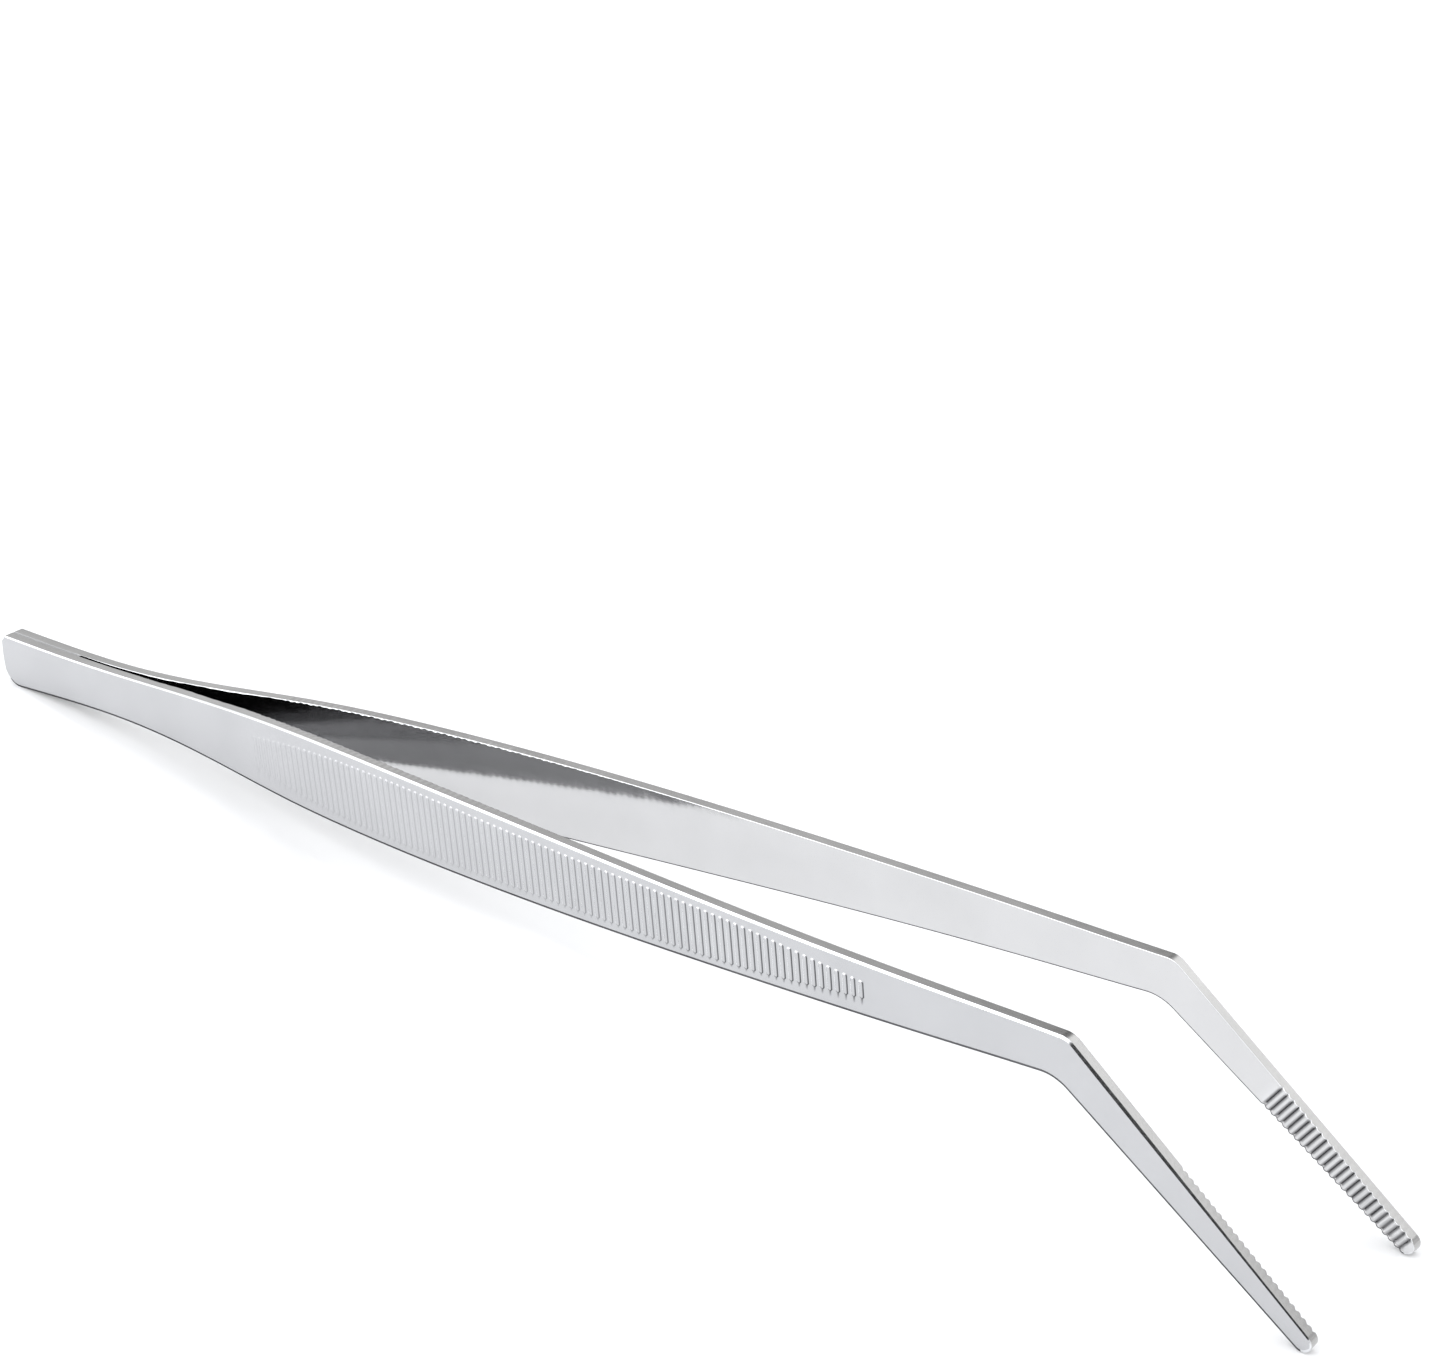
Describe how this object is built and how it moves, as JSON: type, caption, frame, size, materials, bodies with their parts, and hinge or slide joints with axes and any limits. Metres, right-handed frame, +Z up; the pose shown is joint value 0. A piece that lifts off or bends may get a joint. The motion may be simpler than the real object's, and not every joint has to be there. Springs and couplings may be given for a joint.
{
  "type": "aquascaping tweezers",
  "caption": "Long stainless spring tweezers with two bowed ribbed blades welded at the butt and angled serrated jaws for planting under water.",
  "frame": {"origin": "centre of the bounding box's base, on the surface the tweezers stand on", "axes": "+Z up; +X from the welded butt to the jaw tips; +Y across, from the right blade to the left blade; standing on both tips and the butt's lower corner"},
  "size_m": [0.2697, 0.0272, 0.0298],
  "materials": {
    "blade_steel": "polished faces with satin-ground edges",
    "weld_steel": "satin-ground flush with the blades"
  },
  "bodies": {
    "butt": {"left_tail": "blade_steel", "right_tail": "blade_steel", "weld_top": "weld_steel", "weld_bottom": "weld_steel", "weld_end": "weld_steel"},
    "left_blade": {"left_arm": "blade_steel"},
    "right_blade": {"right_arm": "blade_steel"}
  },
  "joints": [
    {"name": "left_flex", "type": "hinge", "parent": "butt", "child": "left_blade", "pos_m": [-0.08961, 0.00092, 0.00857], "axis": [0.0974, 0, -0.9952], "range_deg": [0, 3.02], "stiffness_Nm_per_rad": 8.4},
    {"name": "right_flex", "type": "hinge", "parent": "butt", "child": "right_blade", "pos_m": [-0.08961, -0.00092, 0.00857], "axis": [-0.0974, 0, 0.9952], "range_deg": [0, 3.02], "stiffness_Nm_per_rad": 8.4}
  ]
}
